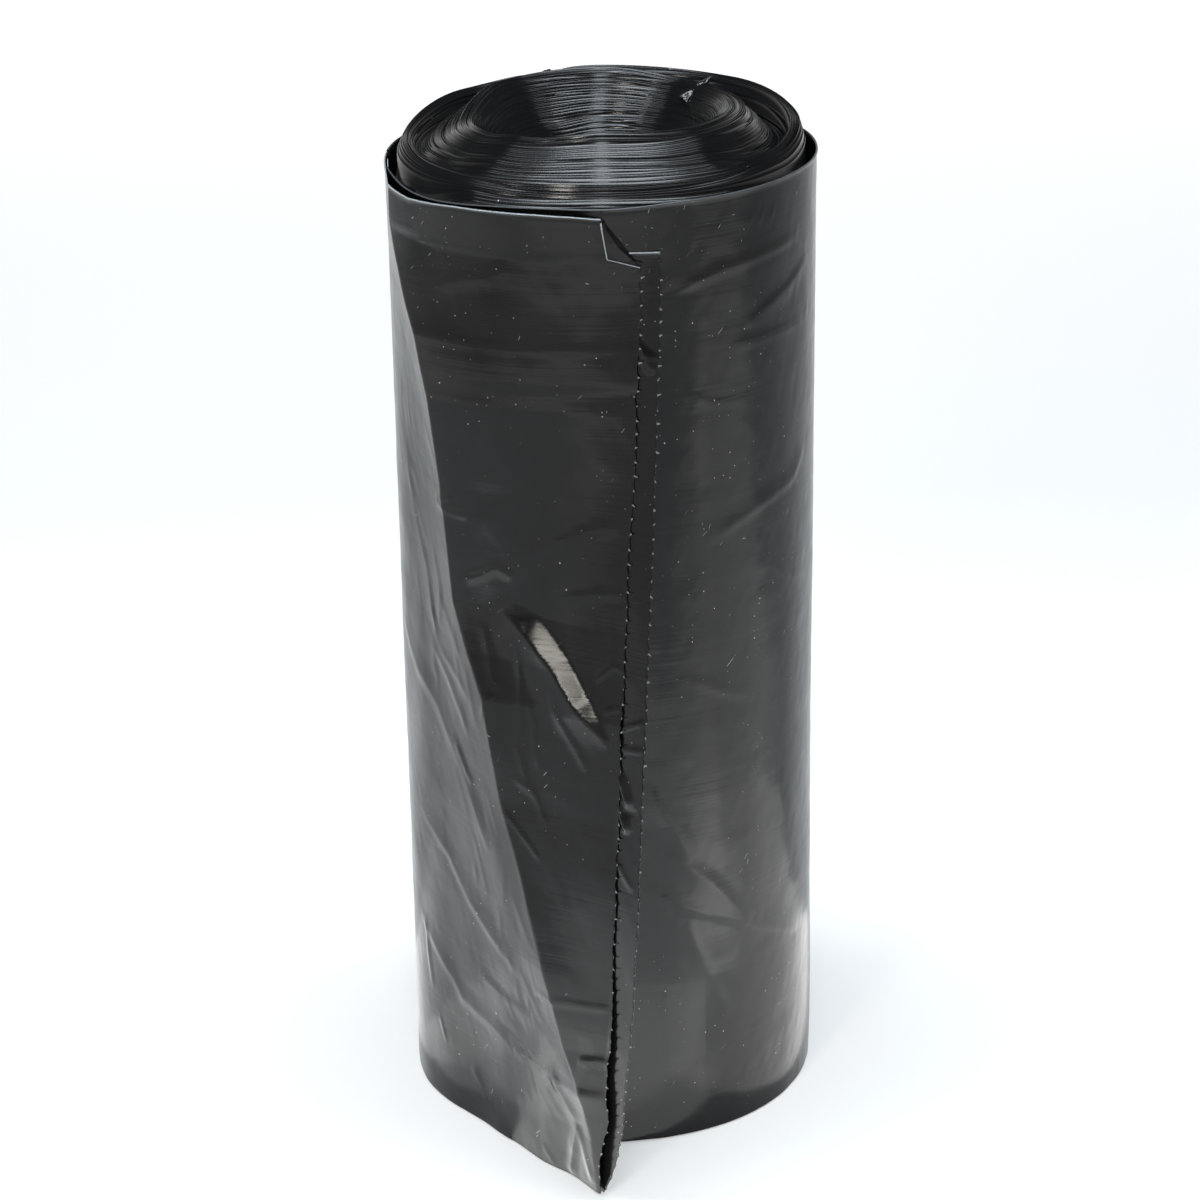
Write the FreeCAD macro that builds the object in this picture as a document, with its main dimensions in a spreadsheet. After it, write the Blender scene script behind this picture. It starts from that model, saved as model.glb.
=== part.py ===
import FreeCAD, Part
import math
import os

# Bin bag roll: one long web of black film sacks, folded once lengthways, perforated between sacks
# and wound without a core. It stands on one end. Origin: on the roll's axis, at the surface it
# stands on. +Z runs up the roll, -Y is the side where the free end of the web hangs loose.

os.makedirs("parts", exist_ok=True)
doc = FreeCAD.newDocument("bin_bag_roll")

# Driving sizes, in millimetres and degrees

SIZES = [
    ("roll_length", 350, "width of the folded web, so the height of the standing roll"),
    ("hollow_radius", 28, "radius of the hollow that the winding mandrel left"),
    ("turn_pitch", 2.5, "radial step from one drawn turn to the next"),
    ("turn_count", 16, "number of drawn turns in the tight bundle"),
    ("crest_rise", 16.5, "how far the outermost tight turns stand above the loose outer turn"),
    ("crest_inset", 2.5, "how far inside the bundle's outer radius the crest lies"),
    ("crest_spread", 3.5, "radial width over which the crest falls away"),
    ("mound_rise", 20, "how far the turns round the hollow stand above the loose outer turn"),
    ("mound_inset", 23.5, "how far inside the bundle's outer radius that mound lies"),
    ("mound_spread", 10, "radial width over which the mound falls away"),
    ("funnel_depth", 10, "how far the innermost turn has slid down"),
    ("funnel_width", 8, "radial width of the funnel of slid turns"),
    ("edge_wander", 0.8, "how far the edge of one turn stands from its neighbours' level"),
    ("foot_step", 1.2, "how far some turns stand clear of the surface below"),
    ("foot_band", 2, "number of neighbouring turns that stand clear together"),
    ("groove_width", 5.6, "gap between the tight bundle and the loose outer turn"),
    ("groove_depth", 20, "depth to which that gap stays open"),
    ("web_thickness", 0.4, "thickness of the loose outer turn, four layers of film"),
    ("front_edge_angle", 120, "angle over which slid turns fill the groove at the front"),
    ("front_edge_count", 3, "number of drawn turns that fill the groove there"),
    ("front_edge_top", 11, "height of the innermost of them above the loose outer turn"),
    ("front_edge_fall", 4, "drop from each of them to the next"),
    ("leaf_thickness", 0.4, "thickness of one leaf of the free end"),
    ("tail_root_angle", 66, "where the free end is still wound on, left of the front"),
    ("tail_reach", 15, "how far past the front the free end's torn edge lies, along the web"),
    ("lift_angle_foot", 49, "where the free end leaves the roll at its foot, left of the front"),
    ("lift_angle_top", 14, "where it leaves the roll at the top, left of the front"),
    ("lift_power", 1.8, "how quickly the line of leaving swings round with height"),
    ("tail_sections", 6, "number of sections that the free end is drawn through"),
    ("outer_leaf_drop", 4.5, "top edge of the outer leaf below the loose outer turn"),
    ("inner_leaf_drop", 12, "top edge of the inner leaf below the loose outer turn"),
    ("leaf_step", 7, "how far the inner leaf's torn edge lies past the outer leaf's"),
    ("leaf_step_height", 60, "height at which that step reaches its full width"),
    ("leaf_part_angle", 3, "how much later the inner leaf leaves the roll, as an angle"),
    ("dog_ear", 14, "length of the outer leaf's top corner that is folded down"),
]

sheet = doc.addObject("Spreadsheet::Sheet", "Sizes")
for row, (alias, value, meaning) in enumerate(SIZES, start=1):
    sheet.set("A%d" % row, alias)
    sheet.set("B%d" % row, str(value))
    sheet.set("C%d" % row, meaning)
    sheet.setAlias("B%d" % row, alias)
doc.recompute()


def size(alias):
    return float(sheet.get(alias))


ROLL_LENGTH = size("roll_length")
HOLLOW_RADIUS = size("hollow_radius")
TURN_PITCH = size("turn_pitch")
TURN_COUNT = int(size("turn_count"))
BUNDLE_RADIUS = HOLLOW_RADIUS + TURN_COUNT * TURN_PITCH
PLY_INNER_RADIUS = BUNDLE_RADIUS + size("groove_width")
PLY_OUTER_RADIUS = PLY_INNER_RADIUS + size("web_thickness")

BUNDLE = "(Sizes.hollow_radius + Sizes.turn_count * Sizes.turn_pitch)"
PLY_INNER = "(%s + Sizes.groove_width)" % BUNDLE


# Tight bundle: a spiral of half turns. The back halves turn about an axis a quarter pitch to the
# left, the front halves about one a quarter pitch to the right, so each half meets the next.


def bell(distance, spread):
    return math.exp(-((distance / spread) ** 2))


def turn_top(index):
    """Height of a turn's upper edge: a funnel round the hollow, a mound, a dip and a crest."""
    radius = HOLLOW_RADIUS + (index + 0.5) * TURN_PITCH
    crest = size("crest_rise") * bell(radius - BUNDLE_RADIUS + size("crest_inset"), size("crest_spread"))
    mound = size("mound_rise") * bell(radius - BUNDLE_RADIUS + size("mound_inset"), size("mound_spread"))
    into_funnel = max(0.0, 1 - (radius - HOLLOW_RADIUS) / size("funnel_width"))
    funnel = size("funnel_depth") * into_funnel ** 2
    wander = size("edge_wander") * math.sin(2.4 * index)
    return ROLL_LENGTH + crest + mound - funnel + wander


def paired(tops):
    """Turns slide at least two together: none stands above, or below, all that lies beside it."""
    tops = list(tops)
    for index, top in enumerate(tops):
        beside = tops[max(0, index - 1):index] + tops[index + 1:index + 2]
        at_an_end = len(beside) == 1
        tops[index] = min(top if at_an_end else max(top, min(beside)), max(beside))
    return tops


def turn_foot(index):
    return size("foot_step") if (index // int(size("foot_band"))) % 2 else 0.0


TURN_TOPS = paired(turn_top(index) for index in range(TURN_COUNT))
TURN_FEET = [turn_foot(index) for index in range(TURN_COUNT)]


def stepped_line(start, levels):
    """Corners of a line with one tread for each turn. Equal neighbours share a tread."""
    corners = [(start, levels[0])]
    for index in range(1, len(levels)):
        if levels[index] != levels[index - 1]:
            riser = start + index * TURN_PITCH
            corners += [(riser, levels[index - 1]), (riser, levels[index])]
    return corners + [(start + len(levels) * TURN_PITCH, levels[-1])]


def stepped_profile(name, start):
    """The half turns' section, stepped above and below, in the plane Y = 0."""
    outline = stepped_line(start, TURN_TOPS) + stepped_line(start, TURN_FEET)[::-1]
    corners = [FreeCAD.Vector(x, 0, z) for x, z in outline]
    profile = doc.addObject("Part::Feature", name)
    profile.Shape = Part.Face(Part.makePolygon(corners + corners[:1]))
    return profile


def half_turns(name, profile, axis_expression, angle):
    turned = doc.addObject("Part::Revolution", name)
    turned.Source = profile
    turned.Axis = FreeCAD.Vector(0, 0, 1)
    turned.Solid = True
    turned.Angle = angle
    turned.setExpression("Base.x", axis_expression)
    return turned


back_profile = stepped_profile("back_profile", HOLLOW_RADIUS - TURN_PITCH / 4)
front_profile = stepped_profile("front_profile", HOLLOW_RADIUS + TURN_PITCH * 3 / 4)
back_turns = half_turns("back_turns", back_profile, "-Sizes.turn_pitch / 4", 180)
front_turns = half_turns("front_turns", front_profile, "Sizes.turn_pitch / 4", -180)


# Outer wrap: the last turns, packed at the foot and up to the groove's floor, with only the
# loose outer turn standing free of the bundle above that.


def cylinder(name, radius_expression, height_expression, level_expression="0"):
    body = doc.addObject("Part::Cylinder", name)
    body.setExpression("Radius", radius_expression)
    body.setExpression("Height", height_expression)
    body.setExpression("Placement.Base.z", level_expression)
    return body


def cut(name, base, tool):
    result = doc.addObject("Part::Cut", name)
    result.Base = base
    result.Tool = tool
    return result


wrap_block = cylinder("wrap_block", PLY_INNER + " + Sizes.web_thickness", "Sizes.roll_length")
wrap_core = cylinder("wrap_core", BUNDLE + " - Sizes.turn_pitch", "Sizes.roll_length")
groove = cylinder("groove", PLY_INNER, "Sizes.groove_depth", "Sizes.roll_length - Sizes.groove_depth")
wrap_tube = cut("wrap_tube", wrap_block, wrap_core)
outer_wrap = cut("outer_wrap", wrap_tube, groove)


# Front edges: at the front the slid turns fill the groove and step down to the loose outer turn.


def front_edge_profile():
    count = int(size("front_edge_count"))
    inside = BUNDLE_RADIUS - TURN_PITCH
    width = (PLY_INNER_RADIUS + size("web_thickness") / 2 - inside) / count
    above = []
    for index in range(count):
        top = ROLL_LENGTH + size("front_edge_top") - index * size("front_edge_fall")
        above += [(inside + index * width, top), (inside + (index + 1) * width, top)]
    floor = ROLL_LENGTH - size("groove_depth") - TURN_PITCH
    below = [(inside + count * width, floor), (inside, floor)]
    corners = [FreeCAD.Vector(0, -radius, z) for radius, z in above + below]
    profile = doc.addObject("Part::Feature", "front_edge_profile")
    profile.Shape = Part.Face(Part.makePolygon(corners + corners[:1]))
    return profile


front_edges = doc.addObject("Part::Revolution", "front_edges")
front_edges.Source = front_edge_profile()
front_edges.Axis = FreeCAD.Vector(0, 0, 1)
front_edges.Solid = True
front_edges.Symmetric = True
front_edges.setExpression("Angle", "Sizes.front_edge_angle")


# Free end: the last sack's torn end. The folded web has an outer and an inner leaf, joined by the
# fold at the foot. Both leave the roll along a tangent that swings round further towards the foot,
# the inner leaf a little later than the outer one, so a narrow mouth opens between them.

LEAF = size("leaf_thickness")
TAIL_REACH = size("tail_reach")
EAR = size("dog_ear")
ROOT_ANGLE = math.radians(size("tail_root_angle"))
PART_ANGLE = math.radians(size("leaf_part_angle"))
OUTER_TOP = ROLL_LENGTH - size("outer_leaf_drop")
INNER_TOP = ROLL_LENGTH - size("inner_leaf_drop")
EAR_FOOT = OUTER_TOP - EAR
INNER_SKIN = PLY_OUTER_RADIUS - LEAF / 2
MIDDLE_SKIN = INNER_SKIN + LEAF
OUTER_SKIN = MIDDLE_SKIN + LEAF


def lift_angle(z):
    """Where the outer leaf leaves the roll, in radians left of the front, at one height."""
    swing = size("lift_angle_foot") - size("lift_angle_top")
    share = min(1.0, z / ROLL_LENGTH)
    return math.radians(size("lift_angle_foot") - swing * share ** size("lift_power"))


def outer_reach(z):
    """Web length from the front to the outer leaf's edge, shorter where its corner is folded."""
    return TAIL_REACH - max(0.0, z - EAR_FOOT)


def inner_reach(z):
    return TAIL_REACH + size("leaf_step") * min(1.0, z / size("leaf_step_height"))


def leaf_point(radius, angle_left, run, z):
    """A point on the tangent that leaves a circle at angle_left, after a straight run."""
    x = -radius * math.sin(angle_left) + run * math.cos(angle_left)
    y = -radius * math.cos(angle_left) - run * math.sin(angle_left)
    return FreeCAD.Vector(x, y, z)


def arc(radius, start, end, z):
    places = [leaf_point(radius, angle, 0, z) for angle in (start, (start + end) / 2, end)]
    return Part.Arc(*places).toShape()


def line(start, end):
    return Part.LineSegment(start, end).toShape()


def leaf_end(inside, outside, angle, run, z):
    """A leaf's straight stretch beyond the roll: out along one skin, across, and back."""
    corners = [leaf_point(inside, angle, 0, z), leaf_point(inside, angle, run, z)]
    corners += [leaf_point(outside, angle, run, z), leaf_point(outside, angle, 0, z)]
    return [line(start, end) for start, end in zip(corners, corners[1:])]


def both_leaves(z):
    """Outline of the free end at one height, with the mouth between its two leaves."""
    lift = lift_angle(z)
    late = lift - PART_ANGLE
    outer_run = outer_reach(z) + MIDDLE_SKIN * lift
    inner_run = inner_reach(z) + INNER_SKIN * late
    edges = [arc(INNER_SKIN, ROOT_ANGLE, late, z)]
    edges += leaf_end(INNER_SKIN, MIDDLE_SKIN, late, inner_run, z)
    edges += [arc(MIDDLE_SKIN, late, lift, z)]
    edges += leaf_end(MIDDLE_SKIN, OUTER_SKIN, lift, outer_run, z)
    edges += [arc(OUTER_SKIN, lift, ROOT_ANGLE, z)]
    edges += [line(leaf_point(OUTER_SKIN, ROOT_ANGLE, 0, z), leaf_point(INNER_SKIN, ROOT_ANGLE, 0, z))]
    return Part.Wire(edges)


def outer_leaf_only(z):
    """Outline of the free end above the inner leaf's top edge."""
    lift = lift_angle(z)
    run = outer_reach(z) + MIDDLE_SKIN * lift
    root_inside = leaf_point(INNER_SKIN, ROOT_ANGLE, 0, z)
    root_outside = leaf_point(OUTER_SKIN, ROOT_ANGLE, 0, z)
    edges = [arc(INNER_SKIN, ROOT_ANGLE, lift, z)]
    edges += [line(leaf_point(INNER_SKIN, lift, 0, z), leaf_point(MIDDLE_SKIN, lift, 0, z))]
    edges += leaf_end(MIDDLE_SKIN, OUTER_SKIN, lift, run, z)
    edges += [arc(OUTER_SKIN, lift, ROOT_ANGLE, z), line(root_outside, root_inside)]
    return Part.Wire(edges)


def loft(name, sections):
    feature = doc.addObject("Part::Feature", name)
    feature.Shape = Part.makeLoft(sections, True, True)
    return feature


def fold_at_foot():
    """The fold that joins the leaves: a thin wedge across the mouth, at the surface below."""
    lift = lift_angle(0)
    late = lift - PART_ANGLE
    outer_run = TAIL_REACH + MIDDLE_SKIN * lift
    inner_run = TAIL_REACH + INNER_SKIN * late
    inner_middle = INNER_SKIN + LEAF / 2
    outer_middle = MIDDLE_SKIN + LEAF / 2
    corners = [leaf_point(inner_middle, late, 0, 0), leaf_point(inner_middle, late, inner_run, 0)]
    corners += [leaf_point(outer_middle, lift, outer_run, 0), leaf_point(outer_middle, lift, 0, 0)]
    feature = doc.addObject("Part::Feature", "fold_at_foot")
    feature.Shape = Part.Face(Part.makePolygon(corners + corners[:1])).extrude(FreeCAD.Vector(0, 0, LEAF))
    return feature


def dog_ear():
    """The outer leaf's top corner, folded forward and down along a slanting crease."""
    skin = (MIDDLE_SKIN + OUTER_SKIN) / 2

    def on_leaf(reach, z):
        return leaf_point(skin, lift_angle(z), reach + MIDDLE_SKIN * lift_angle(z), z)

    corners = [on_leaf(TAIL_REACH - EAR, OUTER_TOP), on_leaf(TAIL_REACH, EAR_FOOT)]
    corners += [on_leaf(TAIL_REACH - EAR, EAR_FOOT)]
    feature = doc.addObject("Part::Feature", "dog_ear")
    forward = leaf_point(1.5 * LEAF, lift_angle(OUTER_TOP), 0, 0)
    feature.Shape = Part.Face(Part.makePolygon(corners + corners[:1])).extrude(forward)
    return feature


section_count = int(size("tail_sections"))
levels = [EAR_FOOT * index / (section_count - 1) for index in range(section_count)]
leaves = loft("leaves", [both_leaves(z) for z in levels + [INNER_TOP]])
leaf_top = loft("leaf_top", [outer_leaf_only(INNER_TOP), outer_leaf_only(OUTER_TOP)])


# The web is one piece, so everything is one solid. Treads at one level stay separate faces.

bag_roll = doc.addObject("Part::MultiFuse", "bag_roll")
bag_roll.Shapes = [back_turns, front_turns, outer_wrap, front_edges]
bag_roll.Shapes += [leaves, leaf_top, fold_at_foot(), dog_ear()]
bag_roll.Refine = False
bag_roll.Label = "bag_roll"
doc.recompute()

for item in doc.Objects:
    if "Invalid" in item.State or "Error" in item.State:
        raise RuntimeError("%s did not build" % item.Name)

roll = bag_roll.Shape
if roll.isNull() or not roll.isValid() or len(roll.Solids) != 1:
    raise RuntimeError("the bag roll is not one valid solid")
roll.exportStep("parts/%s.step" % bag_roll.Label)
print("bag_roll: volume %.0f mm3, faces %d" % (roll.Volume, len(roll.Faces)))
print(roll.BoundBox)
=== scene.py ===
import math

import bpy
import numpy as np
from mathutils import Matrix, Vector


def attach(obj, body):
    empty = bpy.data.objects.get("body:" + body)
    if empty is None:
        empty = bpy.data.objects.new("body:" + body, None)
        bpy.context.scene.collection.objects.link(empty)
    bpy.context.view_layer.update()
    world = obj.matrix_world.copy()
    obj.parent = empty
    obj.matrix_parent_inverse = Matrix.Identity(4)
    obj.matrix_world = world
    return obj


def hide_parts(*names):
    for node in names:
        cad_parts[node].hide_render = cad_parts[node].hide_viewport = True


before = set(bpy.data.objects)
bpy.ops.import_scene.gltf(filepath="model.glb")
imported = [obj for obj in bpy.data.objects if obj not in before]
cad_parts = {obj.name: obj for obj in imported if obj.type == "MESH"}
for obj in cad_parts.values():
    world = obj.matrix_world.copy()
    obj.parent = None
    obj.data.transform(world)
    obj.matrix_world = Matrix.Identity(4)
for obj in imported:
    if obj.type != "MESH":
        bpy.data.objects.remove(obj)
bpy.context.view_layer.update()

# Bin bag roll. Sizes are in millimetres on the way, and every mesh is made in metres. Angles run
# round the roll from the front, where the free end hangs, and grow to the right. A place on the
# web is its length past the front and its height above the surface that the roll stands on.


# ------------------------------------------------------------------------------------------------
# Tight turns. Some seventy turns of folded black film, wound without a core, so the hollow is only
# what the mandrel left. Their upper edges have slid: they form a mound round the hollow, a valley,
# a standing crest, and at the front one slope down to the loose outer turn.

MM = 0.001
ROLL_LENGTH = 350.0
HOLLOW_RADIUS = 28.0
OUTER_RADIUS = 74.0
TURN_PITCH = 0.625
LAST_TURN_RADIUS = 72.4
STEPS_ROUND = 300


def smooth(low, high, value):
    """0 up to low, 1 from high on, and an even rise between them."""
    share = np.clip((value - low) / (high - low), 0, 1)
    return share * share * (3 - 2 * share)


def bell(distance, spread):
    return np.exp(-((distance / spread) ** 2))


def drift(x, y, cell_x, cell_y, seed, cells_round=0):
    """Even random waviness about 0, with hills of about one cell. It may close on itself in y."""
    lattice = np.random.default_rng(seed).standard_normal((211, 223))
    u, v = np.broadcast_arrays(x / cell_x + 40.0, y / cell_y)
    i, j = np.floor(u).astype(int), np.floor(v).astype(int)
    a, b = u - i, v - j
    a, b = a * a * (3 - 2 * a), b * b * (3 - 2 * b)

    def corner(di, dj):
        column = (j + dj) % (cells_round or 223)
        return lattice[(i + di) % 211, column]

    low = corner(0, 0) * (1 - a) + corner(1, 0) * a
    high = corner(0, 1) * (1 - a) + corner(1, 1) * a
    return low * (1 - b) + high * b


# How far the turns have slid. Each row is one angle from the front, and gives the height of the
# edges at these radii: round the hollow, over the mound, in the valley, up the crest, and down.

LEVEL_RADII = (28, 36, 41, 44.5, 48, 54, 60, 63.5, 65, 68, 70, 70.7, 73.5)
LEVELS = {
    -180: (348, 357, 364.5, 367.3, 366.5, 360, 354, 352.5, 362.5, 363.8, 361, 340, 340),
    -135: (347.5, 356, 364, 367, 366, 359.5, 353.5, 351, 359, 360, 356, 338, 338),
    -90: (347, 353.5, 358.5, 361.2, 360.3, 356.5, 352.5, 351, 356, 355, 350, 334, 334),
    -60: (347, 354, 360, 362.8, 361.5, 357.5, 353.8, 354, 356, 353, 349.5, 341, 339),
    -35: (347, 355, 362, 364.7, 363.3, 360.0, 356.8, 356.5, 355.5, 353, 351.5, 350, 347.5),
    0: (348, 357, 365, 367.5, 366.3, 362.8, 359.5, 357.5, 356.5, 354, 352.5, 352, 349.5),
    35: (348, 357, 364, 366.7, 365, 361.5, 358, 357, 356.5, 354, 352, 350.5, 348.5),
    60: (348, 357, 364, 366.8, 365.3, 360, 354.5, 354, 358, 356.5, 352, 345, 341),
    90: (348, 356.5, 363.5, 366, 364.8, 359.5, 353.5, 351.5, 360.5, 360, 354, 338, 336),
    135: (348, 356.5, 363, 365.7, 365, 359.5, 353.5, 352, 361.5, 362.5, 359, 338, 338),
    180: (348, 357, 364.5, 367.3, 366.5, 360, 354, 352.5, 362.5, 363.8, 361, 340, 340),
}


def turn_level(radius, angle):
    """Height of the turns' upper edges."""
    radius, angle = np.broadcast_arrays(radius, (angle + 180.0) % 360.0 - 180.0)
    angles = sorted(LEVELS)
    level = np.zeros(radius.shape)
    for before, after in zip(angles, angles[1:]):
        share = smooth(before, after, angle)
        here = (angle >= before) & (angle < after)
        near = np.interp(radius, LEVEL_RADII, LEVELS[before])
        far = np.interp(radius, LEVEL_RADII, LEVELS[after])
        level = np.where(here, near + share * (far - near), level)
    return level


def mesh_piece(name, points, faces, places=None):
    """A smooth-shaded mesh from points in millimetres, with the web's own places as its UVs."""
    mesh = bpy.data.meshes.new(name)
    mesh.from_pydata((points.reshape(-1, 3) * MM).tolist(), [], faces.reshape(-1, faces.shape[-1]).tolist())
    if places is not None:
        corners = np.zeros(len(mesh.loops), np.int32)
        mesh.loops.foreach_get("vertex_index", corners)
        layer = mesh.uv_layers.new(name="web")
        layer.data.foreach_set("uv", (places.reshape(-1, 2)[corners] * MM).astype(np.float32).ravel())
    mesh.shade_smooth()
    piece = bpy.data.objects.new(name, mesh)
    bpy.context.scene.collection.objects.link(piece)
    return piece


def around(radius, angle, height):
    """Points at a radius and an angle from the front."""
    turn = np.radians(angle)
    return np.stack(np.broadcast_arrays(radius * np.sin(turn), -radius * np.cos(turn), height), -1)


def turn_edges(name, inner, outer, pitch, steps, level, gap, skirt):
    """The edges of a spiral of turns: for each a crown, and a gap before the next."""
    count = int((outer - inner) / pitch * steps)
    size = count + 1
    swept = np.arange(size + steps) * 360.0 / steps
    radius = inner + pitch * swept / 360.0
    angle = swept % 360.0
    middle = radius + 0.08 * drift(swept, radius, 47.0, 3.0, 5)
    top = level(radius, angle, swept)
    depth, parted = gap(radius, angle, swept)
    before, after = parted[:size], parted[steps:]
    middle, turn, level_here = middle[:size], angle[:size], top[:size]
    rails = [
        around(middle - pitch * 0.5, turn, level_here - depth[:size]),
        around(middle - pitch * (0.27 - 0.15 * before), turn, level_here - 0.08 - 0.10 * before),
        around(middle + pitch * 0.02, turn, level_here),
        around(middle + pitch * (0.30 - 0.15 * after), turn, level_here - 0.10 - 0.12 * after),
    ]
    last = np.arange(count - steps, count + 1)
    wall = around(radius[last] + pitch / 2, turn[last], level_here[last] - skirt)
    index = np.arange(size * 4).reshape(4, size)
    outer_wall = size * 4 + np.arange(len(last))
    beyond = np.concatenate([index[0, steps:], outer_wall[1:]])
    cross = [index[0], index[1], index[2], index[3], beyond[:size]]
    faces = []
    for near, far in zip(cross, cross[1:]):
        long = min(len(near), len(far))
        near, far = near[:long], far[:long]
        faces.append(np.stack([near[:-1], far[:-1], far[1:], near[1:]], -1))
    return mesh_piece(name, np.concatenate(rails + [wall]), np.concatenate(faces))


def upper_level(radius, angle, swept):
    own = 0.15 * drift(swept, 0.0, 63.0, 1.0, 11)
    outside = 0.4 + 0.6 * smooth(42, 50, radius)
    together = 0.38 * outside * drift(radius, angle, 1.3, 60.0, 12, 6)
    terraces = 0.55 * outside * drift(radius, angle, 3.3, 60.0, 17, 6)
    pit = 1.2 * bell(radius - 29.0, 6.0) * bell((angle % 360.0) - 205.0, 16.0)
    kink = 0.8 * bell(radius - 42.0, 5.0) * bell(angle % 360.0 - 133.0, 8.0)
    notch = 2.2 * bell(radius - 67.0, 2.5) * bell(angle % 360.0 - 197.0, 5.0)
    return turn_level(radius, angle) + own + together + terraces - pit + kink - notch


def upper_gap(radius, angle, swept):
    parted = smooth(0.1, 0.8, drift(radius, angle, 0.75, 90.0, 14, 4))
    return 0.35 + 2.0 * parted + 0.4 * smooth(0.2, 1.0, drift(swept, 0.0, 90.0, 1.0, 15)), parted


tight_turns = turn_edges(
    "tight_turns", HOLLOW_RADIUS, LAST_TURN_RADIUS, TURN_PITCH, STEPS_ROUND, upper_level, upper_gap, 9.0
)


# Film. Every piece is the same black polyethylene: near black in itself, with a soft gloss, level
# drawing lines from the die, a little dust, and short scratches where it has been handled.

def node_group(name, inputs, outputs):
    group = bpy.data.node_groups.new(name, "ShaderNodeTree")
    for label, kind, value in inputs:
        socket = group.interface.new_socket(label, in_out="INPUT", socket_type=kind)
        if value is not None:
            socket.default_value = value
    for label in outputs:
        group.interface.new_socket(label, in_out="OUTPUT", socket_type="NodeSocketFloat")
    return group, group.nodes.new("NodeGroupInput").outputs, group.nodes.new("NodeGroupOutput").inputs


def put(tree, socket, value):
    """Sets a socket to a number or colour, or joins it to another node's output."""
    if isinstance(value, bpy.types.NodeSocket):
        tree.links.new(value, socket)
    else:
        socket.default_value = value


def wire(tree, kind, settings=(), **sockets):
    node = tree.nodes.new(kind)
    for key, value in settings:
        setattr(node, key, value)
    for label, value in sockets.items():
        put(tree, node.inputs[label.replace("_", " ")], value)
    return node.outputs


def maths(tree, operation, *values):
    node = tree.nodes.new("ShaderNodeMath")
    node.operation = operation
    for socket, value in zip(node.inputs, values):
        put(tree, socket, value)
    return node.outputs[0]


def placed(tree, group, **sockets):
    return wire(tree, "ShaderNodeGroup", [("node_tree", group)], **sockets)


def mixed(tree, share, first, second):
    node = tree.nodes.new("ShaderNodeMix")
    node.data_type = "RGBA"
    put(tree, node.inputs["Factor"], share)
    put(tree, node.inputs["A"], first)
    put(tree, node.inputs["B"], second)
    return node.outputs["Result"]


def drawing_lines_group():
    """Level lines that the die leaves along the web, close together and uneven."""
    group, given, result = node_group(
        "drawing_lines",
        [("Place", "NodeSocketVector", None), ("Spacing", "NodeSocketFloat", 900.0)],
        ["Lines", "Bands"],
    )
    apart = wire(group, "ShaderNodeSeparateXYZ", Vector=given["Place"])
    upward = maths(group, "MULTIPLY", apart["Z"], given["Spacing"])
    sideways = maths(group, "MULTIPLY", apart["X"], 9.0)
    inward = maths(group, "MULTIPLY", apart["Y"], 9.0)
    stretched = wire(group, "ShaderNodeCombineXYZ", X=sideways, Y=inward, Z=upward)[0]
    fine = wire(group, "ShaderNodeTexNoise", Vector=stretched, Scale=1.0, Detail=2.0)
    slow = wire(group, "ShaderNodeTexNoise", Vector=stretched, Scale=0.13, Detail=3.0)
    put(group, result["Lines"], fine["Fac"])
    put(group, result["Bands"], slow["Fac"])
    return group


def flecks_group():
    """Scattered small marks. Place is stretched before it comes in, for marks that are strokes."""
    group, given, result = node_group(
        "flecks",
        [
            ("Place", "NodeSocketVector", None),
            ("Size", "NodeSocketFloat", 0.1),
            ("Share", "NodeSocketFloat", 0.1),
        ],
        ["Mask"],
    )
    cells = wire(group, "ShaderNodeTexVoronoi", Vector=given["Place"], Scale=1.0)
    random = wire(group, "ShaderNodeSeparateColor", Color=cells["Color"])
    own_size = maths(group, "MULTIPLY", random["Green"], given["Size"])
    near = maths(group, "LESS_THAN", cells["Distance"], own_size)
    chosen = maths(group, "LESS_THAN", random["Red"], given["Share"])
    both = maths(group, "MULTIPLY", near, chosen)
    put(group, result["Mask"], maths(group, "MULTIPLY", both, random["Blue"]))
    return group


def scratches_group():
    """Short fine strokes in three directions, in patches, and closer together towards the top."""
    group, given, result = node_group(
        "scratches",
        [("Web", "NodeSocketVector", None), ("Share", "NodeSocketFloat", 0.01)],
        ["Mask"],
    )
    height = wire(group, "ShaderNodeSeparateXYZ", Vector=given["Web"])["Y"]
    upper = wire(
        group, "ShaderNodeMapRange", Value=height, From_Min=0.318, From_Max=0.338, To_Min=1.0, To_Max=10.0
    )[0]
    patches = wire(group, "ShaderNodeTexNoise", Vector=given["Web"], Scale=24.0, Detail=1.0)["Fac"]
    patches = wire(group, "ShaderNodeMapRange", Value=patches, From_Min=0.45, From_Max=0.7)[0]
    share = maths(group, "MULTIPLY", maths(group, "MULTIPLY", upper, given["Share"]), patches)
    strokes = 0.0
    for angle, length in ((-0.75, 190.0), (-0.95, 320.0), (1.9, 260.0), (0.25, 420.0)):
        turned = wire(
            group, "ShaderNodeVectorRotate", [("rotation_type", "Z_AXIS")], Vector=given["Web"], Angle=angle
        )[0]
        stretched = wire(group, "ShaderNodeMapping", Vector=turned, Scale=(length, 2700.0, 1.0))[0]
        stroke = placed(group, flecks, Place=stretched, Size=0.40, Share=share)["Mask"]
        strokes = maths(group, "MAXIMUM", strokes, stroke)
    put(group, result["Mask"], strokes)
    return group


drawing_lines = drawing_lines_group()
flecks = flecks_group()
scratches = scratches_group()


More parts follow.
